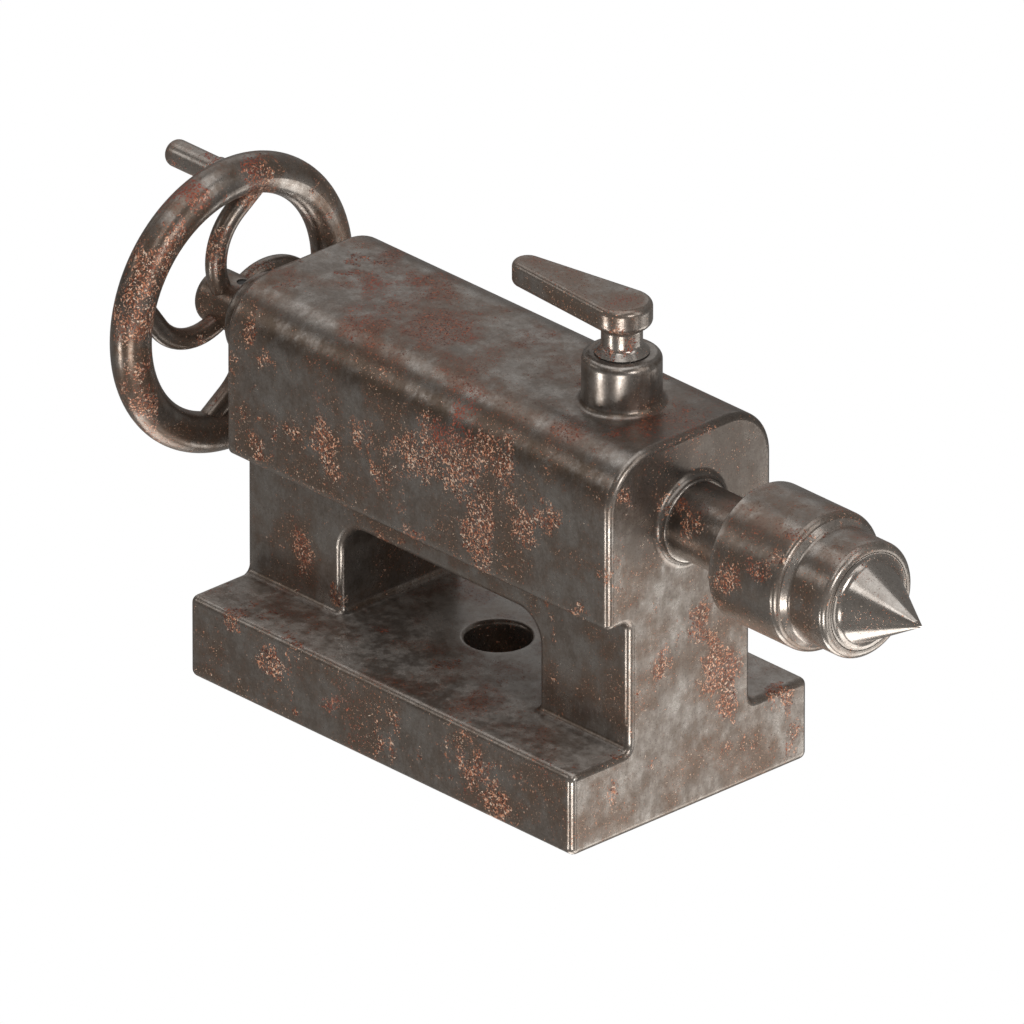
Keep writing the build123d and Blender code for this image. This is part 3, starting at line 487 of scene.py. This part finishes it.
MATERIALS = {
    "cast_iron_body": worn_metal("cast_iron_body", rust=1.0, patina=1.0),
    "worn_wheel_iron": worn_metal("worn_wheel_iron", rust=2.1, patina=1.6, polish=0.1, seed=0.9),
    "turned_steel": worn_metal("turned_steel", rust=1.2, patina=1.45, polish=0.28, seed=1.7),
    "ground_steel": worn_metal("ground_steel", rust=0.2, patina=0.35, polish=1.55, seed=2.3),
    "dark_steel": machined("dark_steel", (0.05, 0.05, 0.05), (0.11, 0.105, 0.10), 0.42),
    "bronze": machined("bronze", (0.42, 0.25, 0.11), (0.62, 0.42, 0.22), 0.36),
    "cage_brass": machined("cage_brass", (0.55, 0.40, 0.16), (0.72, 0.55, 0.26), 0.33),
    "bearing_steel": machined("bearing_steel", (0.55, 0.55, 0.56), (0.72, 0.72, 0.73), 0.14),
    "seal_rubber": rubber("seal_rubber"),
}


def paint(node, material):
    """Give a node one material."""
    node.data.materials.clear()
    node.data.materials.append(material)


for part in frame["record"]["subparts"]:
    paint(frame["nodes"][part["node"]], MATERIALS[part["material_slot"]])


# ---- studio -------------------------------------------------------------------
def direction(azimuth, elevation):
    """Unit vector; azimuth 0 is -Y and 90 is +X, elevation is above the horizon, in degrees."""
    a = math.radians(azimuth)
    e = math.radians(elevation)
    return Vector((math.sin(a) * math.cos(e), -math.cos(a) * math.cos(e), math.sin(e)))


def place_facing(thing, spot, way):
    """Put a camera or light at a spot, looking back against the given direction."""
    bpy.context.scene.collection.objects.link(thing)
    thing.location = spot
    thing.rotation_mode = "QUATERNION"
    thing.rotation_quaternion = way.to_track_quat("Z", "Y")


def glow_material(name, colour, strength):
    """Surface that only gives out light."""
    material = bpy.data.materials.new(name)
    material.use_nodes = True
    tree = material.node_tree
    tree.nodes.clear()
    emission = tree.nodes.new("ShaderNodeEmission")
    emission.inputs["Color"].default_value = (*colour, 1)
    emission.inputs["Strength"].default_value = strength
    output = tree.nodes.new("ShaderNodeOutputMaterial")
    tree.links.new(emission.outputs[0], output.inputs["Surface"])
    return material


def add_floor():
    """Plain pale floor that lights nothing and shows in no reflection."""
    half = FLOOR_SIZE / 2
    level = CAD_BOX[0][Z] - FLOOR_DROP
    corners = [(-half, -half, level), (half, -half, level), (half, half, level), (-half, half, level)]
    mesh = bpy.data.meshes.new("floor")
    mesh.from_pydata(corners, [], [(0, 1, 2, 3)])
    mesh.materials.append(glow_material("pale_floor", WHITE, 1.0))
    floor = bpy.data.objects.new("floor", mesh)
    bpy.context.scene.collection.objects.link(floor)
    for ray in ("diffuse", "glossy", "transmission", "volume_scatter", "shadow"):
        setattr(floor, f"visible_{ray}", False)


def add_soft_box(name, azimuth, elevation, wide_deg, high_deg, radiance, colour):
    """Area light of a given apparent size and brightness, aimed at the object."""
    wide = 2 * LIGHT_DISTANCE * math.tan(math.radians(wide_deg / 2))
    high = 2 * LIGHT_DISTANCE * math.tan(math.radians(high_deg / 2))
    data = bpy.data.lights.new(name, "AREA")
    data.shape = "RECTANGLE"
    data.size = wide
    data.size_y = high
    data.energy = radiance * math.pi * wide * high
    data.color = colour
    light = bpy.data.objects.new(name, data)
    way = direction(azimuth, elevation)
    place_facing(light, CENTRE + way * LIGHT_DISTANCE, way)
    light.visible_camera = False


def add_room():
    """White for the camera, and a dim even glow for everything else."""
    world = bpy.data.worlds.new("studio")
    bpy.context.scene.world = world
    world.use_nodes = True
    tree = world.node_tree
    tree.nodes.clear()
    path = tree.nodes.new("ShaderNodeLightPath")
    glow = tree.nodes.new("ShaderNodeBackground")
    glow.inputs["Color"].default_value = (*ROOM_COLOUR, 1)
    glow.inputs["Strength"].default_value = ROOM_GLOW
    white = tree.nodes.new("ShaderNodeBackground")
    white.inputs["Color"].default_value = (*WHITE, 1)
    choose = tree.nodes.new("ShaderNodeMixShader")
    output = tree.nodes.new("ShaderNodeOutputWorld")
    tree.links.new(path.outputs["Is Camera Ray"], choose.inputs[0])
    tree.links.new(glow.outputs[0], choose.inputs[1])
    tree.links.new(white.outputs[0], choose.inputs[2])
    tree.links.new(choose.outputs[0], output.inputs["Surface"])


def add_camera():
    """Camera far away with a long lens, framing VIEW_WIDTH at the aim point."""
    data = bpy.data.cameras.new("camera")
    data.lens = LENS_MM
    data.sensor_width = SENSOR_MM
    distance = LENS_MM / SENSOR_MM * VIEW_WIDTH
    data.clip_start = CLIP_START
    data.clip_end = CLIP_DISTANCES * distance
    camera = bpy.data.objects.new("camera", data)
    back = direction(VIEW_AZIMUTH, VIEW_ELEVATION)
    place_facing(camera, AIM + back * distance, back)
    bpy.context.scene.camera = camera


add_floor()
add_room()
for soft_box in SOFT_BOXES:
    add_soft_box(*soft_box)
add_camera()

view = bpy.context.scene.view_settings
view.view_transform = "Standard"
view.look = "None"
view.exposure = 0.0
view.gamma = 1.0
